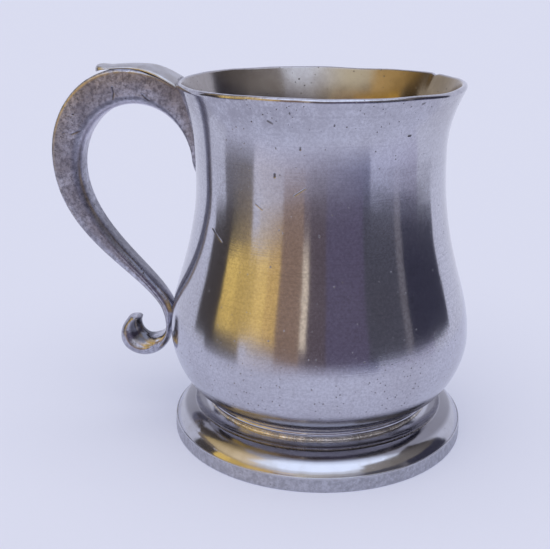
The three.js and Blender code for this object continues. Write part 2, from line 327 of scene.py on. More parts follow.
def pit_effect():
    """Small round casting pits: the spacing of the places for them, and the share that hold one."""
    tree, given, result = effect("Casting pits", {"Spacing": 0.002, "Share": 0.3, "Width": 0.3}, "Pit")
    scale = maths(tree, "DIVIDE", 1.0, given["Spacing"])
    cells = put(tree, "ShaderNodeTexVoronoi", {"Vector": spot_of(tree), "Scale": scale})
    chance = put(tree, "ShaderNodeSeparateColor", {0: cells.outputs["Color"]})
    held = maths(tree, "LESS_THAN", chance.outputs[0], given["Share"])
    size = times(tree, given["Width"], plus(tree, 0.35, chance.outputs[1]))
    core = times(tree, size, 0.35)
    dip = ramp(tree, cells.outputs["Distance"], size, core)
    tree.links.new(times(tree, held, dip), result)
    return tree


def turning_effect():
    """Fine lines left by the lathe tool, which run round the axis and come and go."""
    tree, given, result = effect("Turning lines", {"Spacing": 0.0004, "Axis": 0.0}, "Line")
    spot = put(tree, "ShaderNodeSeparateXYZ", {0: spot_of(tree)})
    across = less(tree, spot.outputs["X"], given["Axis"])
    around = plus(tree, times(tree, across, across), times(tree, spot.outputs["Y"], spot.outputs["Y"]))
    out = maths(tree, "DIVIDE", maths(tree, "SQRT", around), given["Spacing"])
    up = maths(tree, "DIVIDE", spot.outputs["Z"], given["Spacing"])
    place = put(tree, "ShaderNodeCombineXYZ", {0: out, 1: up})
    lines = {"Vector": place, "Scale": 1.0, "Detail": 2.0, "Roughness": 0.6}
    line = put(tree, "ShaderNodeTexNoise", lines, noise_dimensions="2D").outputs["Fac"]
    fade = ramp(tree, clouds(tree, 60.0), 0.35, 0.65, 0.35, 1.0)
    tree.links.new(times(tree, less(tree, line, 0.5), fade), result)
    return tree


def scratch_effect():
    """One scratch from point to point, in millimetres from the foot of the mug's axis."""
    start = {"From": (0.0, 0.0, 0.0), "To": (0.0, 0.0, 1.0), "Width": 0.2, "Axis": 0.0}
    tree, given, result = effect("Scratch", start, "Scratch")
    shift = put(tree, "ShaderNodeCombineXYZ", {0: given["Axis"]})

    def vector(operation, *values):
        return put(tree, "ShaderNodeVectorMath", enumerate(values), operation=operation)
    centred = vector("SUBTRACT", spot_of(tree), shift)
    spot = vector("MULTIPLY", centred, (1000.0, 1000.0, 1000.0))
    reach = vector("SUBTRACT", spot, given["From"])
    length = vector("SUBTRACT", given["To"], given["From"])
    along = vector("DOT_PRODUCT", reach, length).outputs["Value"]
    whole = vector("DOT_PRODUCT", length, length).outputs["Value"]
    share = put(tree, "ShaderNodeClamp", {0: maths(tree, "DIVIDE", along, whole)})
    nearest = put(tree, "ShaderNodeVectorMath", {0: length, 3: share}, operation="SCALE")
    away = vector("DISTANCE", reach, nearest).outputs["Value"]
    tree.links.new(ramp(tree, away, given["Width"], 0.0), result)
    return tree


pits = pit_effect()
turning = turning_effect()
scratch = scratch_effect()


def used(tree, group, inputs):
    return put(tree, "ShaderNodeGroup", inputs, node_tree=group).outputs[0]


def pitted(tree, spacing, share, width):
    return used(tree, pits, {"Spacing": spacing, "Share": share, "Width": width})


def attribute(tree, name):
    return put(tree, "ShaderNodeAttribute", attribute_name=name).outputs["Fac"]


def height_of(tree):
    return put(tree, "ShaderNodeSeparateXYZ", {0: spot_of(tree)}).outputs["Z"]


def coating(name, values):
    """A material with some values set, its tree and its shader."""
    finish = bpy.data.materials.new(name)
    finish.use_nodes = True
    shader = finish.node_tree.nodes["Principled BSDF"]
    for title, value in values.items():
        shader.inputs[title].default_value = value
    return finish, finish.node_tree, shader


def metal(name, streak=0.0):
    """An all-metal material with an empty look, its tree and its shader."""
    whole = {"Metallic": 1.0, "Anisotropic": streak, "Anisotropic Rotation": 0.25}
    finish, tree, shader = coating(name, whole)
    if streak:
        tangent = put(tree, "ShaderNodeTangent", direction_type="RADIAL", axis="Z")
        tree.links.new(tangent.outputs[0], shader.inputs["Tangent"])
    return finish, tree, shader


def surface(tree, shader, colour, rough, layers):
    """Colour, roughness, and bumps one on another: each layer's height, and its depth in metres."""
    tree.links.new(colour, shader.inputs["Base Color"])
    tree.links.new(rough, shader.inputs["Roughness"])
    under = None
    for height, depth in layers:
        inputs = {"Height": height, "Distance": depth, "Strength": 1.0}
        if under is not None:
            inputs["Normal"] = under
        under = put(tree, "ShaderNodeBump", inputs).outputs[0]
    tree.links.new(under, shader.inputs["Normal"])


body_marks = [
    ((-5.4, -39.1, 89.0), (-2.2, -39.4, 91.2), 0.3),
    ((-16.6, -35.9, 85.6), (-14.6, -36.8, 84.2), 0.3),
    ((-31.0, -26.7, 75.3), (-27.6, -30.8, 72.4), 0.4),
    ((-12.7, -39.9, 110.0), (-11.5, -40.2, 109.3), 0.55),
    ((-3.7, -39.6, 102.8), (-3.7, -39.6, 102.3), 0.5),
    ((-11.0, -37.7, 94.9), (-11.0, -37.7, 94.0), 0.45),
    ((25.9, -30.9, 105.2), (26.6, -30.3, 105.2), 0.5),
    ((29.4, -32.5, 114.2), (29.9, -31.9, 114.6), 0.5),
    ((-6.5, -42.4, 112.6), (-6.5, -42.4, 112.4), 0.45),
    ((5.6, -41.2, 109.4), (5.6, -41.2, 109.2), 0.45),
]


def worn_marks(tree, marks):
    """Scratches and larger pits, each where it lies on the piece."""
    return most(tree, *[
        used(tree, scratch, {"From": start, "To": end, "Width": width, "Axis": axis_x})
        for start, end, width in marks])


def body_pewter():
    finish, tree, shader = metal("Turned pewter", streak=0.68)
    height = height_of(tree)
    lines = used(tree, turning, {"Spacing": 0.00045, "Axis": axis_x})
    patches = clouds(tree, 38.0, 4.0, 0.6)
    bloom = ramp(tree, clouds(tree, 1200.0, 5.0, 0.85), 0.38, 0.64)
    # darker band near the lip: tarnish, with painted shade making it stronger on the barrel's side towards
    # the handle and camera
    painted_shade_weight = plus(tree, 0.3, attribute(tree, "shaded_side"))
    tarnish_and_painted_shade = times(tree, ramp(tree, height, 0.102, 0.112), painted_shade_weight)
    tarnish_and_painted_shade = times(tree, tarnish_and_painted_shade, ramp(tree, clouds(tree, 300.0, 4.0, 0.7), 0.3, 0.6))
    inside = attribute(tree, "inside")
    stain = ramp(tree, clouds(tree, 90.0, 5.0, 0.7), 0.35, 0.7)
    clean = tinted(tree, stain, (0.43, 0.40, 0.38, 1), (0.34, 0.305, 0.285, 1))
    brown = tinted(tree, stain, (0.35, 0.275, 0.17, 1), (0.27, 0.21, 0.13, 1))
    near_lip = ramp(tree, height, 0.088, 0.114)
    near_belly = less(tree, ramp(tree, height, 0.020, 0.030), ramp(tree, height, 0.034, 0.052))
    often = plus(tree, times(tree, near_lip, 0.35), times(tree, near_belly, 0.8))
    clustered = times(tree, often, ramp(tree, clouds(tree, 75.0, 2.0, 0.5), 0.36, 0.6, 0.15, 1.0))
    coarse = pitted(tree, 0.0040, times(tree, near_lip, 0.3), 0.085)
    fine = pitted(tree, 0.00115, plus(tree, clustered, 0.05), 0.19)
    sunken = most(tree, coarse, fine, worn_marks(tree, body_marks))
    colour = tinted(tree, ramp(tree, patches, 0.4, 0.7), (0.63, 0.63, 0.685, 1), (0.56, 0.553, 0.595, 1))
    colour = layered(tree, colour, [
        (bloom, 0.5, (0.37, 0.36, 0.395, 1)),
        (ramp(tree, lines, 0.02, 0.2), 0.22, (0.36, 0.355, 0.39, 1)),
        (tarnish_and_painted_shade, 1.0, (0.37, 0.36, 0.395, 1)),
        (inside, 1.0, tinted(tree, attribute(tree, "browned"), clean, brown)),
        (sunken, 0.85, (0.08, 0.07, 0.065, 1)),
    ])
    rough = plus(tree, ramp(tree, patches, 0.3, 0.75, 0.125, 0.165), times(tree, inside, 0.06))
    rough = less(tree, rough, ramp(tree, height, 0.024, 0.017, 0.0, 0.03))
    surface(tree, shader, colour, rough, [
        (clouds(tree, 55.0, 2.0, 0.5), 0.00013), (lines, 0.000006), (less(tree, 1.0, sunken), 0.00012)])
    return finish


body_finish = body_pewter()

lap_out = belly[0] - wall / 2 + lap_gap / 2
lap_top = belly[1] + lap_height + lap_gap
lip_turns = np.radians(np.linspace(lip_turn, lip_turn + 180, 41))
lip_bow = wall / 2 + lip_worn * np.exp(-((np.degrees(lip_turns) - worn_angle) / worn_spread) ** 2)
lip_steps = (lip_bow[1:] + lip_bow[:-1]) / 2 * np.diff(lip_turns)
lip_ways = (lip_turns[1:] + lip_turns[:-1]) / 2
lip_arc = lip_start + np.vstack([
    [(0, 0)], np.cumsum(np.column_stack([-np.sin(lip_ways), np.cos(lip_ways)]) * lip_steps[:, None], axis=0)])
lip_miss = 2 * lip_centre - lip_start - lip_arc[-1]
lip_arc += lip_miss * np.linspace(0, 1, len(lip_arc))[:, None]
barrel_inside = moved_square(barrel_face, wall)
barrel_inside = barrel_inside[barrel_inside[:, 1] > lap_top + 0.3]
barrel = turned("pewter_barrel", np.vstack([
    barrel_face,
    lip_arc[1:],
    barrel_inside[::-1][1:],
    [(belly[0] - wall, lap_top), (lap_out, lap_top), (lap_out, seam_top[1])],
]), True, body_finish)
spots = points_of(barrel)
around = np.arctan2(spots[:, 1], spots[:, 0] - axis_x)
reach = np.hypot(spots[:, 1], spots[:, 0] - axis_x)
mark(barrel, "inside", eased_step(body_radius(spots[:, 2] / mm, 0) - reach / mm, 0.5 * wall, 0.95 * wall))
# painted shade: the barrel's side towards the handle and camera, where the band near the lip is painted
# darker
mark(barrel, "shaded_side", 0.45 * eased_step(np.cos(around + math.radians(140)), 0.5, 0.95))
mark(barrel, "browned", eased_step(np.cos(around - math.radians(36)), 0.40, 0.74))
swelled = (reach + out_of_round(spots[:, 2] / mm, around) * mm) / reach
at_lip = eased_step(spots[:, 2] / mm, worn_low, worn_high)
waver = sum(height * np.sin(waves * around + start) for height, waves, start in lip_waves)
nick = -nick_depth * np.exp(-((around - math.radians(nick_angle)) / nick_width) ** 2)
spots[:, 0] = axis_x + (spots[:, 0] - axis_x) * swelled
spots[:, 1] = spots[:, 1] * swelled
spots[:, 2] += at_lip * np.minimum(0, waver - lip_wear + nick) * mm
set_points(barrel, spots)

tongue_out = belly[0] - wall / 2 - lap_gap / 2
tongue_top = belly[1] + lap_height
bead_centre = (bead_out - bead_radius, throat[1] - bead_radius * 1.2)
bead = round_about(bead_centre, bead_radius, bead_radius, -80, 80, 16)
bowl_inside = moved_square(bowl_face, wall)[::-1]
bowl_inside = bowl_inside[bowl_inside[:, 1] > floor_height + wall / 2]
floor_edge = bowl_inside[-1]
floor_round = bend(floor_edge, *floor_pulls, (floor_edge[0] - floor_fillet, floor_height), 8)
bowl = turned("pewter_bowl", np.vstack([
    straight((0, floor_height - floor_thickness), (seat_radius, floor_height - floor_thickness), 6),
    [(seat_radius, seat_top), (neck_radius, seat_top)],
    bead,
    bowl_face,
    [(tongue_out, belly[1]), (tongue_out, tongue_top), (belly[0] - wall, tongue_top)],
    bowl_inside,
    floor_round[1:],
    straight((floor_edge[0] - floor_fillet, floor_height), (0, floor_height), 8)[1:],
]), False, body_finish)
spots = points_of(bowl)
reach = np.hypot(spots[:, 1], spots[:, 0] - axis_x)
in_bowl = (spots[:, 2] > (floor_height - 0.5) * mm) & (reach < (true_radius(spots[:, 2] / mm) - 0.7) * mm)
mark(bowl, "inside", in_bowl.astype(float))
mark(bowl, "browned", np.full(len(spots), 0.7))

seam_in = belly[0] - wall / 2
belly_seam = turned("belly_seam_solder", np.array([
    (seam_in, belly[1]), (belly[0], belly[1]), (belly[0] - 0.01, belly[1] + seam_height / 2),
    (belly[0], seam_top[1]), (seam_in, seam_top[1]),
]), True, body_finish)
mark(belly_seam, "inside", np.zeros(len(belly_seam.data.vertices)))

for piece, node, slot in [
    (barrel, "barrel", "pewter"),
    (bowl, "bowl", "pewter"),
    (belly_seam, "belly_solder", "solder"),
]:
    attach(piece, "root")
    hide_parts(node)

# Foot ring
# The foot is a hollow pewter casting, turned and polished: an upright edge, a thin fillet,
# a broad convex moulding and a narrow hollow up to the seat under the collar.

stand_radius, foot_radius, foot_edge = 44.4, 48.85, 0.45
edge_height = 4.9
moulding_out = 48.45
hollow_out, hollow_height = 41.8, 10.1
hollow_pull = (2.4, 1.1)
moulding_swell, moulding_full = 0.85, 0.55
under_height = 8.0
seat_height = 11.0
fillet_out, fillet_up = 0.2, 0.22


def foot_pewter():
    finish, tree, shader = metal("Polished foot pewter", streak=0.35)
    height = height_of(tree)
    patches = clouds(tree, 70.0, 4.0, 0.6)
    on_edge = ramp(tree, height, 0.0047, 0.0041)
    mottle = ramp(tree, clouds(tree, 750.0, 5.0, 0.75), 0.34, 0.68)
    edge = tinted(tree, mottle, (0.38, 0.38, 0.415, 1), (0.58, 0.585, 0.635, 1))
    # painted shade and painted reflection: a dark band on the upper moulding just below the hollow, standing
    # in for the shaded belly mirrored there
    painted_shade_band = ramp(tree, height, 0.0076, 0.0088, 0.0, 0.8)
    painted_shade_band = less(tree, painted_shade_band, ramp(tree, height, 0.0099, 0.0103, 0.0, 0.75))
    pit = pitted(tree, 0.0011, plus(tree, times(tree, on_edge, 0.25), 0.03), 0.17)
    colour = tinted(tree, ramp(tree, patches, 0.42, 0.75), (0.56, 0.56, 0.595, 1), (0.47, 0.455, 0.455, 1))
    colour = layered(tree, colour, [
        (on_edge, 1.0, edge),
        (painted_shade_band, 1.0, (0.23, 0.22, 0.24, 1)),
        (pit, 0.7, (0.09, 0.08, 0.07, 1)),
    ])
    rough = plus(tree, ramp(tree, patches, 0.35, 0.8, 0.12, 0.2), times(tree, on_edge, 0.26))
    lines = used(tree, turning, {"Spacing": 0.0005, "Axis": axis_x})
    surface(tree, shader, colour, rough, [
        (clouds(tree, 120.0, 2.0, 0.5), 0.00012), (lines, 0.000004), (less(tree, 1.0, pit), 0.0001)])
    return finish


edge_top = foot_radius - foot_edge / 4
moulding_mid = ((moulding_out + hollow_out) / 2, (edge_height + hollow_height) / 2)
chord = np.array([hollow_out - moulding_out, hollow_height - edge_height])
swell_way = np.array([chord[1], -chord[0]]) / np.linalg.norm(chord)
moulding_pull = (np.array(moulding_mid) + 2 * moulding_swell * swell_way
                 - moulding_full * chord / np.linalg.norm(chord))


def bowed(start, pull, end, steps):
    """Points on a curve bowed towards one pull."""
    t = np.linspace(0, 1, steps + 1)[:, None]
    return (1 - t) ** 2 * np.array(start) + 2 * (1 - t) * t * np.array(pull) + t ** 2 * np.array(end)


foot_outline = np.vstack([
    [(stand_radius, 0), (foot_radius - foot_edge, 0)],
    round_about((foot_radius - foot_edge, foot_edge), foot_edge, foot_edge, -80, 0, 6),
    straight((foot_radius, foot_edge), (edge_top, edge_height - fillet_up), 8)[1:],
    round_about((edge_top - fillet_out, edge_height - fillet_up), fillet_out, fillet_up, 8, 90, 6),
    [(moulding_out - 0.04, edge_height - 0.16)],
    bowed((moulding_out - 0.12, edge_height - 0.06), moulding_pull, (hollow_out, hollow_height), 40),
    bowed((hollow_out, hollow_height), (hollow_out - hollow_pull[0], hollow_height - hollow_pull[1]),
          (neck_radius, seat_height), 24)[1:],
    [(seat_radius, seat_height)],
    bowed((seat_radius, under_height), (stand_radius, under_height), (stand_radius, 0), 14)[:-1],
])
foot = turned("pewter_foot", foot_outline, True, foot_pewter())
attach(foot, "root")
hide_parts("foot_ring")

# Foot solder
# Soft solder squeezed out in an uneven bead where the collar sits on the foot. It was run
# round with an iron and never dressed, so it wanders and thickens.


def solder_metal():
    finish, tree, shader = metal("Soft solder")
    patches = ramp(tree, clouds(tree, 260.0, 4.0, 0.65), 0.35, 0.65)
    pit = pitted(tree, 0.0009, 0.2, 0.25)
    colour = tinted(tree, patches, (0.92, 0.86, 0.75, 1), (0.60, 0.55, 0.48, 1))
    colour = layered(tree, colour, [(pit, 0.6, (0.12, 0.10, 0.08, 1))])
    rough = ramp(tree, patches, 0.0, 1.0, 0.14, 0.3)
    surface(tree, shader, colour, rough, [(clouds(tree, 900.0, 3.0, 0.6), 0.00032)])
    return finish


def bead_work():
    """Geometry Nodes: a bead that follows a ring, swelling and wandering along it."""
    tree, given = shape_tree("Bead of solder", [
        ("Ring", "Geometry"), ("Ring radius", "Float"), ("Ring height", "Float"), ("Bead radius", "Float"),
        ("Swell", "Float"), ("Seed", "Float"), ("Axis", "Vector"), ("Finish", "Material"),
    ], "Bead")
    ring = put(tree, "GeometryNodeCurvePrimitiveCircle", {"Resolution": 420, "Radius": given["Ring radius"]})
    spot = put(tree, "GeometryNodeInputPosition")
    waves = {"Vector": spot, "W": given["Seed"], "Scale": 170.0, "Detail": 3.0}
    wave = put(tree, "ShaderNodeTexNoise", waves, noise_dimensions="4D")
    swing = times(tree, less(tree, wave, 0.5), given["Swell"])
    lift = put(tree, "ShaderNodeCombineXYZ", {"Z": times(tree, swing, 0.0005)})
    wandering = put(tree, "GeometryNodeSetPosition", {"Geometry": ring, "Offset": lift})
    size = plus(tree, 1.0, swing)
    section = put(tree, "GeometryNodeCurvePrimitiveCircle", {
        "Resolution": 14, "Radius": given["Bead radius"]})
    tube = put(tree, "GeometryNodeCurveToMesh", {
        "Curve": wandering, "Profile Curve": section, "Scale": size})
    up = put(tree, "ShaderNodeCombineXYZ", {"Z": given["Ring height"]})
    shift = put(tree, "ShaderNodeVectorMath", {0: given["Axis"], 1: up}, operation="ADD")
    placed = put(tree, "GeometryNodeTransform", {"Geometry": tube, "Translation": shift})
    return put_out(tree, placed, given["Finish"], "Bead")


solder_finish = solder_metal()
foot_bead = in_scene("foot_solder_bead", bpy.data.meshes.new("foot_solder_bead"))
set_up(foot_bead, bead_work(), {
    "Ring radius": (neck_radius + 0.05) * mm,
    "Ring height": (seat_height + 0.3) * mm,
    "Bead radius": 0.58 * mm,
    "Swell": 1.1,
    "Seed": 4.0,
    "Axis": (axis_x, 0.0, 0.0),
    "Finish": solder_finish,
})
made_plain(foot_bead, 60)
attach(foot_bead, "root")
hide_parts("foot_solder")

# Handle
# The scroll handle is one solid pewter casting, left duller than the body. It springs from a
# tongue under the lip, runs down to a neck on the belly and curls into a dished terminal.

crown_rise, crown_out = 3.1, 62.0
root_arc, root_inset = 31.0, 3.2
tongue_inset, tongue_tail = 1.3, 2.0
gap_half_width = 18.5
gap_middle = 88.0
crown_depth, grip_depth = 10.9, 9.4
bend_height = 91.5
back_pull_down, back_pull_up = 31.5, 17.0
gap_pull_down, gap_pull_up = 23.0, 12.0
neck_depth, neck_inset, neck_seat = 2.4, 0.85, 38.0
curl_radius, curl_height, curl_turn = 4.6, 34.0, 195.0
terminal_radius, terminal_height, terminal_clear, terminal_turn = 9.8, 31.9, 0.95, 214.0
beak_radius, beak_start = 6.4, 0.6
handle_widths = [13.0, 12.5, 11.0, 8.4, 10.4, 6.2]
handle_swells = [1.0, 1.0, 1.0, 2.4, 2.6, 1.6]
handle_bevels = [5.5, 2.4, 3.2, 3.8, 3.8, 3.6]
side_fullness = 0.012
dish_radius, dish_depth = 5.6, 2.3
dish_out, dish_drop = 0.5, 1.6
# size and place of the darkening in the terminal's dish: grime and painted shade
dish_shade_radius, dish_shade_out, dish_shade_drop = 5.2, 0.2, 0.2
sunk = 0.5
cap_turns, cap_length = [20, 40, 58, 74, 84], 1.1
shoulder_steps, side_steps, corner_steps = 13, 16, 14
corner_start = 4.0
handle_marks = [
    ((-65.3, -6.1, 114.2), (-65.0, -6.1, 112.4), 0.5),
    ((-65.0, -6.1, 112.4), (-65.4, -6.1, 110.6), 0.5),
    ((-55.9, -6.1, 112.1), (-53.8, -6.1, 110.2), 0.5),
    ((-79.6, -5.7, 99.2), (-75.4, -5.7, 100.8), 0.45),
]

tail_steps, root_steps, crown_steps, run_steps, seat_steps, curl_steps = 8, 56, 56, 84, 12, 96
crown_height = body_height + crown_rise
gap_centre = np.array([waist[0] + tongue_inset + gap_half_width, gap_middle])
gap_half_height = crown_height - crown_depth - gap_middle
handle_reach = gap_centre[0] + gap_half_width + grip_depth
neck_back = np.array([belly[0] + neck_depth, curl_height])
neck_front = np.array([belly[0] - neck_inset, neck_seat])
curl_centre = np.array([neck_back[0] + curl_radius, curl_height])
terminal_centre = np.array([belly[0] + terminal_clear + terminal_radius, terminal_height])


def back_rail():
    """Line along the middle of the handle's back: distance from the mug's axis, and height."""
    first = math.degrees(math.acos((lip_radius - root_inset - crown_out) / root_arc))
    root = round_about((crown_out, crown_height - root_arc), root_arc, root_arc, first, 90, root_steps)
    tail = straight(root[0] - tongue_tail, root[0], tail_steps)
    over = round_about((crown_out, bend_height), handle_reach - crown_out, crown_height - bend_height,
                       90, 0, crown_steps)
    run = bend((handle_reach, bend_height), (0, -back_pull_down), (0, back_pull_up), neck_back,
               run_steps + seat_steps)
    curl = round_about(curl_centre, curl_radius, curl_radius, -180, curl_turn - 180, curl_steps)
    return np.vstack([tail[:-1], root, over[1:], run[1:], curl[1:]])


def gap_rail():
    """Line along the inner side, round the finger gap and the outside of the terminal."""
    gap = round_about(gap_centre, gap_half_width, gap_half_height, 180, 0, root_steps + crown_steps)
    tail = straight((waist[0] - 0.6, gap_middle - tongue_tail - 3), gap[0], tail_steps)
    run = bend(gap[-1], (0, -gap_pull_down), (0, gap_pull_up), neck_front, run_steps)
    share = np.linspace(0, 1, curl_steps + 1)
    radius = terminal_radius + (beak_radius - terminal_radius) * eased_step(share, beak_start, 1)
    angle = np.radians(terminal_turn * share - 180)
    scroll = terminal_centre + radius[:, None] * np.column_stack([np.cos(angle), np.sin(angle)])
    seat = straight(neck_front, scroll[0], seat_steps)
    return np.vstack([tail[:-1], gap, run[1:], seat[1:], scroll[1:]])


def along_handle(values):
    """A size that runs smoothly from value to value over the stages of the handle."""
    stages = np.cumsum([0, tail_steps + root_steps, crown_steps, run_steps + seat_steps,
                        curl_steps / 2, curl_steps / 2])
    count = int(stages[-1]) + 1
    sizes = np.interp(np.arange(count), stages, values)
    for _ in range(3):
        padded = np.pad(sizes, 9, mode="edge")
        sizes = np.convolve(padded, np.ones(19) / 19, mode="valid")
    return sizes


def handle_section(width, depth, swell, bevel):
    """Section of the handle: across, and down from its back. The shoulders of the back and the
    inner edges are rounded, and the sides are a little full."""
    rise = min(swell, depth * 0.36)
    corner, corner_down = min(bevel, width * 0.45), min(1.25 * bevel, depth * 0.6)
    shoulder = min(1.25 * rise, 0.42 * width)
    half = width / 2 - side_fullness * depth
    back = np.vstack([
        round_about((shoulder - half, rise), shoulder, rise, -180, -90, shoulder_steps),
        round_about((half - shoulder, rise), shoulder, rise, -90, 0, shoulder_steps),
    ])
    side = straight((half, rise), (half, depth - corner_down), side_steps)
    side[:, 0] += side_fullness * depth * np.sin(np.linspace(0, math.pi, side_steps + 1))
    corner_centre = (half - corner, depth - corner_down)
    inner = round_about(corner_centre, corner, corner_down, corner_start, 90, corner_steps)
    right = np.vstack([side[1:], inner])
    left = right[::-1] * (-1, 1)
    return np.vstack([back, right, left])


def loft(name, sections, finish, sharp, marks=()):
    """A closed skin over sections that all have the same number of points, in millimetres."""
    rings, count = sections.shape[:2]
    starts = [(ring * count, i, (i + 1) % count) for ring in range(rings - 1) for i in range(count)]
    faces = [(first + i, first + j, first + count + j, first + count + i) for first, i, j in starts]
    faces.append(tuple(range(count)))
    faces.append(tuple(range((rings - 1) * count, rings * count)))
    piece = built(name, (sections.reshape(-1, 3) * mm + (axis_x, 0, 0)).tolist(), [], faces)
    piece.data.materials.append(finish)
    for title, values in marks:
        mark(piece, title, values)
    return made_plain(piece, sharp)


def clear_of_bore(points, depth):
    """Points that reach into the body brought back to just under its outer face."""
    turn = np.arctan2(points[..., 1], points[..., 0])
    out = np.hypot(points[..., 0], points[..., 1])
    least = body_radius(points[..., 2], turn) - depth
    grown = np.maximum(out, least) / np.maximum(out, 1e-6)
    fixed = points.copy()
    fixed[..., 0] *= grown
    fixed[..., 1] *= grown
    return fixed


def handle_sections():
    back, front = back_rail(), gap_rail()
    widths, swells, bevels = (along_handle(v) for v in (handle_widths, handle_swells, handle_bevels))
    rings = []
    for i, (spine, gap) in enumerate(zip(back, front)):
        across = gap - spine
        depth = np.linalg.norm(across)
        outline = handle_section(widths[i], depth, swells[i], bevels[i])
        place = spine + outline[:, 1:] * across / depth
        rings.append(np.column_stack([-place[:, 0], outline[:, 0], place[:, 1]]))
    onward = (rings[-1] - rings[-2]).mean(0)
    onward /= np.linalg.norm(onward)
    middle = rings[-1].mean(0)
    blunt = rings[-1]
    for turn in np.radians(cap_turns):
        rings.append(middle + (blunt - middle) * math.cos(turn) + onward * cap_length * math.sin(turn))
    return np.array(rings)


def dish(points, radius, out, drop):
    """How far each point lies into a round patch on the terminal's cheeks, 0 to 1."""
    centre = terminal_centre + (out, -drop)
    away = np.hypot(-points[..., 0] - centre[0], points[..., 2] - centre[1]) / radius
    return np.clip(1 - away ** 2, 0, 1)


def dished(points):
    """The terminal's two cheeks hollowed."""
    hollow = dish_depth * dish(points, dish_radius, dish_out, dish_drop) ** 1.25
    hollow = np.minimum(hollow, np.abs(points[..., 1]) * 0.6)
    hollowed = points.copy()
    hollowed[..., 1] -= np.sign(points[..., 1]) * hollow
    return hollowed


def handle_pewter():
    finish, tree, shader = metal("Dull handle pewter")
    height = height_of(tree)
    patches = clouds(tree, 110.0, 5.0, 0.65)
    mottle = ramp(tree, clouds(tree, 700.0, 5.0, 0.8), 0.38, 0.64)
    low_down = ramp(tree, height, 0.075, 0.045)
    lower_run = times(tree, ramp(tree, height, 0.088, 0.062), ramp(tree, height, 0.040, 0.050))
    upper_run = ramp(tree, height, 0.084, 0.106)
    # patches where the painted gold glint along the arris shows
    glint_breaks = ramp(tree, clouds(tree, 150.0, 4.0, 0.7), 0.3, 0.62)
    fine = pitted(tree, 0.0011, 0.4, 0.19)
    coarse = pitted(tree, 0.0040, 0.3, 0.12)
    sunken = most(tree, fine, coarse, worn_marks(tree, handle_marks))
    colour = tinted(tree, ramp(tree, patches, 0.35, 0.66), (0.63, 0.64, 0.735, 1), (0.385, 0.38, 0.445, 1))
    colour = layered(tree, colour, [
        (mottle, 0.85, (0.165, 0.16, 0.19, 1)),
        (low_down, 0.35, (0.60, 0.59, 0.64, 1)),
        # painted shade: dark along the inner corners of the lower run
        (times(tree, attribute(tree, "inner"), lower_run), 0.65, (0.11, 0.105, 0.125, 1)),
        # painted shade: a dark line along the crease of the upper run's inner corners
        (times(tree, attribute(tree, "crease_shade_line"), upper_run), 0.6, (0.14, 0.13, 0.155, 1)),
        # painted highlight: a pale band on the upper run's inner bevels
        (times(tree, attribute(tree, "bevel_highlight"), upper_run), 0.65, (0.80, 0.77, 0.86, 1)),
        # the dish hollow darkened: grime and painted shade
        (ramp(tree, attribute(tree, "dish_grime_and_shade"), 0.05, 0.5), 0.85, (0.08, 0.078, 0.095, 1)),
        # painted reflection: warm gold glints along the back's arris, stronger near the top
        (times(tree, attribute(tree, "arris_glint"), glint_breaks),
         ramp(tree, height, 0.092, 0.108, 0.25, 1.0), (0.62, 0.52, 0.36, 1)),
        (sunken, 0.75, (0.06, 0.05, 0.055, 1)),
    ])
    rough = less(tree, ramp(tree, patches, 0.3, 0.75, 0.32, 0.42), times(tree, low_down, 0.13))
    grain = clouds(tree, 900.0, 3.0, 0.65)
    surface(tree, shader, colour, rough, [
        (clouds(tree, 130.0, 2.0, 0.5), 0.0002), (grain, 0.00004), (less(tree, 1.0, sunken), 0.00014)])
    return finish


handle_finish = handle_pewter()
rings = clear_of_bore(handle_sections(), sunk)
half_widths = np.abs(rings[..., 1]).max(1)[:, None]
back_points = 2 * (shoulder_steps + 1)
on_back = np.arange(rings.shape[1]) < back_points
# where the painted gold glint lies: the outer edges of the handle's back
on_arris = on_back * eased_step(np.abs(rings[..., 1]) / half_widths, 0.92, 0.99)
bend_angle = np.linspace(corner_start, 90, corner_steps + 1)
# where painted shade lies on the inner corners of the lower run
one_corner_shade = eased_step(bend_angle, 16, 40)
# where the painted shade line lies along the inner crease
one_crease_line_shade = eased_step(bend_angle, corner_start, 14) * (1 - eased_step(bend_angle, 24, 38))
# where the painted highlight lies on the inner bevels
one_bevel_highlight = eased_step(bend_angle, 30, 48)


def round_corners(one):
    """A value given along one inner corner, set on both corners of every section."""
    section = np.concatenate([np.zeros(back_points + side_steps), one, one[::-1], np.zeros(side_steps)])
    return np.tile(section, (len(rings), 1)).ravel()


handle = loft("scroll_handle", dished(rings), handle_finish, 40, [
    ("arris_glint", on_arris.ravel()),
    ("inner", round_corners(one_corner_shade)),
    ("crease_shade_line", round_corners(one_crease_line_shade)),
    ("bevel_highlight", round_corners(one_bevel_highlight)),
    ("dish_grime_and_shade", dish(rings, dish_shade_radius, dish_shade_out, dish_shade_drop).ravel()),
])
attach(handle, "root")
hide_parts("handle")

# Handle solder
# The handle's tongue and neck are sweated to the body. A thin film of solder has run out to
# a soft edge on the body all round each of them.

pad_film, pad_sunk = 0.28, 0.35
upper_pad_heights, upper_pad_halves = [81.5, 84, 88, 96, 104, 114.5], [0.8, 3.2, 5.6, 7.4, 7.7, 7.8]
lower_pad_heights, lower_pad_halves = [32.5, 34, 38, 44, 48, 50.5], [1.5, 4.4, 5.2, 5.4, 4.2, 1.2]
pad_rows, pad_columns, pad_tuck = 60, 25, 0.04


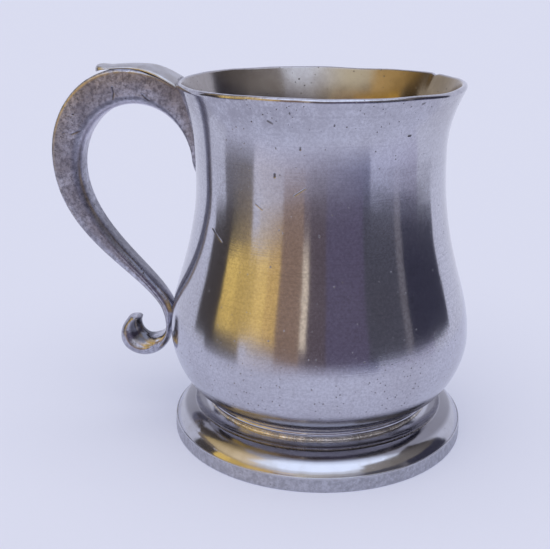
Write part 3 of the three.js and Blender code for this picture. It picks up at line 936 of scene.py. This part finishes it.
def pad(name, node, middles, half_widths, finish):
    """A film of solder on the body's face: its half width by height, thinning to its edge."""
    heights = np.linspace(middles[0], middles[-1], pad_rows)
    halves = np.interp(heights, middles, half_widths)
    for _ in range(2):
        halves = np.convolve(np.pad(halves, 3, mode="edge"), np.ones(7) / 7, mode="valid")
    across = np.linspace(-1, 1, pad_columns)
    sections = []
    for height, half in zip(heights, halves):
        end = 1 - abs(2 * (height - heights[0]) / (heights[-1] - heights[0]) - 1) ** 8
        side = half * across
        turn = math.pi - side / true_radius(height)
        top = body_radius(height, turn) + pad_film * (1 - across ** 4) * end - pad_tuck
        under = body_radius(height, turn[::-1]) - pad_sunk
        level = np.full(pad_columns, height)
        upper = np.column_stack([top * np.cos(turn), top * np.sin(turn), level])
        lower = np.column_stack([under * np.cos(turn[::-1]), under * np.sin(turn[::-1]), level])
        sections.append(np.vstack([upper, lower]))
    piece = loft(name, np.array(sections), finish, 50)
    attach(piece, "root")
    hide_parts(node)


pad("upper_handle_solder_film", "upper_handle_solder", upper_pad_heights, upper_pad_halves, handle_finish)
pad("lower_handle_solder_film", "lower_handle_solder", lower_pad_heights, lower_pad_halves, handle_finish)

# Thumb rest
# A small pewter tongue soldered along the handle's back for the thumb. It is broad at the
# lip, thins towards the crown and ends in a little roll.

thumb_length, thumb_thickness, thumb_dip, thumb_lift = 27.3, 3.1, 1.95, 0.8
thumb_root_width, thumb_width = 17.0, 8.8
nub_radius, nub_length = 0.95, 5.0
tip_round = 3.4
thumb_gap, thumb_sunk, thumb_thinned = 0.05, 0.4, 0.72
plate_rows, nub_rows, across_steps = 60, 24, 32


def thumb_sections():
    rail = back_rail()[tail_steps:tail_steps + root_steps + crown_steps]
    end = lip_radius + thumb_length
    plate_outs = np.linspace(rail[0, 0], end - nub_length, plate_rows)
    outs = np.concatenate([plate_outs, end - nub_length * np.linspace(0.95, 0.02, nub_rows)])
    path = np.column_stack([outs, np.interp(outs, rail[:, 0], rail[:, 1])])
    share = np.clip((outs - lip_radius) / thumb_length, 0, 1)
    path[:, 1] += thumb_lift * eased_step(share, thumb_thinned, 1)
    from_end = end - outs
    widths = thumb_width + (thumb_root_width - thumb_width) * eased_step(1 - share, 0.35, 1)
    plate = thumb_thickness - thumb_dip * eased_step(share, 0, thumb_thinned)
    plate = plate * (0.2 + 0.42 * eased_step(share, -0.02, 0.06) + 0.38 * eased_step(share, 0.06, 0.4))
    roll = 1 - eased_step(from_end, nub_radius, nub_length)
    blunt = np.sqrt(np.clip(1 - np.clip(1 - from_end / (1.3 * nub_radius), 0, 1) ** 2, 0.02, 1))
    thick = (plate + (2 * nub_radius - plate) * roll) * np.maximum(blunt, 0.2)
    nose = np.sqrt(np.clip(1 - np.clip(1 - from_end / tip_round, 0, 1) ** 2, 0.02, 1))
    widths = widths * (0.3 + 0.7 * nose)
    swing = np.linspace(-math.pi / 2, math.pi / 2, across_steps + 1)
    across = np.sin(swing)
    lift = 0.04 + 0.96 * np.clip(np.cos(swing), 0, 1) ** 0.85
    sections = []
    for i in range(len(path)):
        lower = moved_square(path, thumb_gap)[i]
        upper = moved_square(path, thumb_gap + thick[i])[i]
        top = lower + (upper - lower) * lift[:, None]
        ring = np.column_stack([-top[:, 0], across * widths[i] / 2, top[:, 1]])
        base = np.array([(-lower[0], s * widths[i] / 2, lower[1]) for s in (0.96, 0, -0.96)])
        sections.append(np.vstack([ring, base]))
    return np.array(sections)


def thumb_pewter():
    finish, tree, shader = metal("Worn thumb pewter")
    patches = clouds(tree, 110.0, 4.0, 0.6)
    pit = pitted(tree, 0.0016, 0.12, 0.16)
    colour = tinted(tree, ramp(tree, patches, 0.38, 0.7), (0.53, 0.525, 0.545, 1), (0.42, 0.40, 0.39, 1))
    colour = layered(tree, colour, [(pit, 0.6, (0.10, 0.09, 0.08, 1))])
    rough = ramp(tree, patches, 0.3, 0.75, 0.26, 0.36)
    surface(tree, shader, colour, rough, [
        (clouds(tree, 200.0, 2.0, 0.5), 0.00016), (less(tree, 1.0, pit), 0.0001)])
    return finish


thumb = loft("thumb_rest_tongue", clear_of_bore(thumb_sections(), thumb_sunk), thumb_pewter(), 45)
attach(thumb, "root")
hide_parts("thumb_rest")

# Table and studio
# A plain pale table under even daylight. Plain studio cards stand round it only for the metal
# to mirror: warm ones on the left, dark ones in front and on the right, a soft light above.

table_colour, table_shade = (0.46, 0.466, 0.516), (0.24, 0.258, 0.365)
mirrored_table_colour, mirrored_shade = (0.44, 0.452, 0.545), (0.23, 0.245, 0.335)
world_colour = (0.70, 0.72, 0.87)
ambient_colour, ambient_strength = (0.91, 0.97, 1.09), 0.50
table_half, mirrored_table_radius, mirrored_table_height = 15.0, 0.20, 0.00002
card_distance, eye_height = 3.0, 0.07
table_tone = (0.67, 0.69, 0.87)


def table_sheet(name, corners, colour, shade):
    """A flat matt sheet on the ground, with a faint glow that keeps its shadows pale."""
    piece = built(name, corners, [], [tuple(range(len(corners)))])
    finish, _, _ = coating(name, {
        "Base Color": (*colour, 1), "Roughness": 1.0, "Specular IOR Level": 0.0,
        "Emission Color": (*shade, 1), "Emission Strength": 1.0,
    })
    piece.data.materials.append(finish)
    return piece


table = table_sheet("table", [
    (-table_half, -table_half, 0), (table_half, -table_half, 0),
    (table_half, table_half, 0), (-table_half, table_half, 0),
], table_colour, table_shade)
table.visible_glossy = False


def only_mirrored(piece):
    piece.visible_camera = False
    piece.visible_diffuse = False
    piece.visible_shadow = False
    piece.visible_transmission = False


only_mirrored(table_sheet("mirrored_table", [
    (axis_x + mirrored_table_radius * math.cos(a), mirrored_table_radius * math.sin(a), mirrored_table_height)
    for a in np.linspace(0, 2 * math.pi, 97)[:-1]], mirrored_table_colour, mirrored_shade))


def card(name, first, last, low, high, colour, last_colour=None, foot_colour=None, top=None):
    """A curved card round the mug between two azimuths, where 0 faces the camera's side and 90 the
    right, and two elevations, in degrees, or up to a top at a distance and height in metres. Its
    colour may run from one edge to the other, and from a colour along its foot. Only metal mirrors it."""
    steps = max(2, int(abs(last - first) / 3) + 1)
    turn = np.radians(np.linspace(first, last, steps))
    bottom = card_distance, eye_height + card_distance * math.tan(math.radians(low))
    top = top or (card_distance, eye_height + card_distance * math.tan(math.radians(high)))
    rows = [[(axis_x + out * math.sin(a), -out * math.cos(a), height) for a in turn]
            for out, height in (bottom, top)]
    faces = [(i, i + 1, steps + i + 1, steps + i) for i in range(steps - 1)]
    piece = built(name, rows[0] + rows[1], [], faces)
    across = np.linspace(np.array((*colour, 1.0)), np.array((*(last_colour or colour), 1.0)), steps)
    tints = piece.data.color_attributes.new("tint", "FLOAT_COLOR", "POINT")
    foot = np.tile((*foot_colour, 1.0), (steps, 1)) if foot_colour else across
    tints.data.foreach_set("color", np.vstack([foot, across]).astype(np.float32).ravel())
    finish, tree, _ = coating(name, {})
    tree.nodes.clear()
    tint = put(tree, "ShaderNodeVertexColor", layer_name="tint").outputs["Color"]
    glow = put(tree, "ShaderNodeEmission", {"Color": tint, "Strength": 1.0})
    put(tree, "ShaderNodeOutputMaterial", {"Surface": glow})
    piece.data.materials.append(finish)
    only_mirrored(piece)


# left: a dark flag, then a row of warm cards over a strip of shade
card("left_flag", -102, -80, -9, 22, (0.08, 0.07, 0.07))
card("left_flag_top", -112, -86, 22, 29, (0.22, 0.18, 0.15))
card("back_flag", -128, -108, 29, 58, (0.14, 0.12, 0.11))
card("low_flag", -89, -57, -31, -9, (0.19, 0.18, 0.21), (0.21, 0.20, 0.22), table_tone)
card("shade_strip", -80, -57, -9, -1, (0.12, 0.11, 0.10), (0.32, 0.26, 0.20))
card("first_warm_card", -80, -67, -1, 24, (1.05, 0.74, 0.22))
card("second_warm_card", -67, -50, -1, 24, (0.82, 0.57, 0.18))
card("third_warm_card", -50, -39.5, 1, 24, (1.02, 0.71, 0.24))
card("fourth_warm_card", -39.5, -29, 1, 24, (0.84, 0.56, 0.20))
card("warm_top_card", -108, -49, 29, 60, (0.56, 0.42, 0.20), (1.12, 0.92, 0.64))
card("warm_rim_card", -86, -12, 24, 29, (0.50, 0.38, 0.21), (0.95, 0.78, 0.60))
card("pale_strip", -50, -29, -6, 1, (0.68, 0.62, 0.60), (0.50, 0.36, 0.24))
# front: darker cards over a shaded floor, with a bright slit between two of them
card("pale_floor", -57, -5, -31, -9, (0.82, 0.80, 0.92), (0.45, 0.43, 0.54), table_tone)
card("front_floor", -5, 47, -31, -9, (0.42, 0.40, 0.50), (0.22, 0.23, 0.38), table_tone)
card("brown_card", -29, -10.5, -9, 21, (0.34, 0.23, 0.17))
card("slit_foot", -10.5, -5.5, -9, 1, (0.18, 0.14, 0.16))
card("bright_slit", -10.5, -5.5, 1, 21, (0.92, 0.78, 0.61))
card("plum_card", -5.5, 8.5, -9, 21, (0.14, 0.11, 0.13))
card("purple_card", 8.5, 40, -9, 21, (0.14, 0.12, 0.19))
# right: dark cards with a grey slit
card("side_floor", 47, 98, -31, -9, (0.67, 0.70, 0.93), (0.54, 0.53, 0.70), table_tone)
card("dark_card", 40, 70.5, -9, 24, (0.10, 0.10, 0.13))
card("grey_slit", 70.5, 76.5, -9, 24, (0.21, 0.20, 0.23))
card("black_card", 76.5, 118, -9, 24, (0.05, 0.05, 0.08))
card("dark_top_card", 40, 118, 24, 50, (0.42, 0.39, 0.38), (0.09, 0.08, 0.08))
# above: a pale edge and a wide soft light, which leans over the table
card("pale_edge", -12, 40, 21, 32, (0.72, 0.68, 0.62), (0.46, 0.47, 0.55))
card("soft_light_foot", -49, 40, 32, 41, (0.90, 0.95, 1.10))
card("soft_light", -58, 46, 41, None, (1.28, 1.42, 1.75), top=(0.6, 3.6))
card("side_light", 46, 95, 50, None, (1.28, 1.42, 1.75), top=(0.6, 3.9))

world = bpy.data.worlds.new("Daylight")
bpy.context.scene.world = world
world.use_nodes = True
sky = world.node_tree
sky.nodes.clear()
path = put(sky, "ShaderNodeLightPath")
seen = most(sky, *[path.outputs[f"Is {kind} Ray"] for kind in ("Camera", "Glossy", "Transmission")])
ambient = put(sky, "ShaderNodeBackground", {"Color": (*ambient_colour, 1), "Strength": ambient_strength})
backdrop = put(sky, "ShaderNodeBackground", {"Color": (*world_colour, 1), "Strength": 1.0})
both = put(sky, "ShaderNodeMixShader", {0: seen, 1: ambient, 2: backdrop})
put(sky, "ShaderNodeOutputWorld", {"Surface": both})

day = bpy.data.lights.new("soft_daylight", "SUN")
day.energy = 1.75
day.color = (1.0, 0.93, 0.81)
day.angle = math.radians(75)
day_lamp = in_scene("soft_daylight", day)
day_lamp.rotation_euler = Vector((0.0, 0.25, -1.0)).to_track_quat("-Z", "Y").to_euler()
day_lamp.visible_glossy = False

# Camera
# The photograph was taken from a little above the lip, from close by.

camera_place = Vector((axis_x + 0.01513, -0.2887, 0.1497))
camera_yaw, camera_pitch, camera_roll = math.radians(-5.91), math.radians(18.53), math.radians(0.11)
focal_length, film_width = 59.9, 36.0

lens = bpy.data.cameras.new("camera")
lens.lens = focal_length
lens.sensor_width = film_width
lens.sensor_fit = "HORIZONTAL"
lens.clip_start, lens.clip_end = 0.01, 100
camera = in_scene("camera", lens)
camera.matrix_world = (
    Matrix.Translation(camera_place)
    @ Matrix.Rotation(-camera_yaw, 4, "Z")
    @ Matrix.Rotation(math.pi / 2 - camera_pitch, 4, "X")
    @ Matrix.Rotation(camera_roll, 4, "Z")
)
bpy.context.scene.camera = camera
bpy.context.scene.view_settings.view_transform = "Standard"
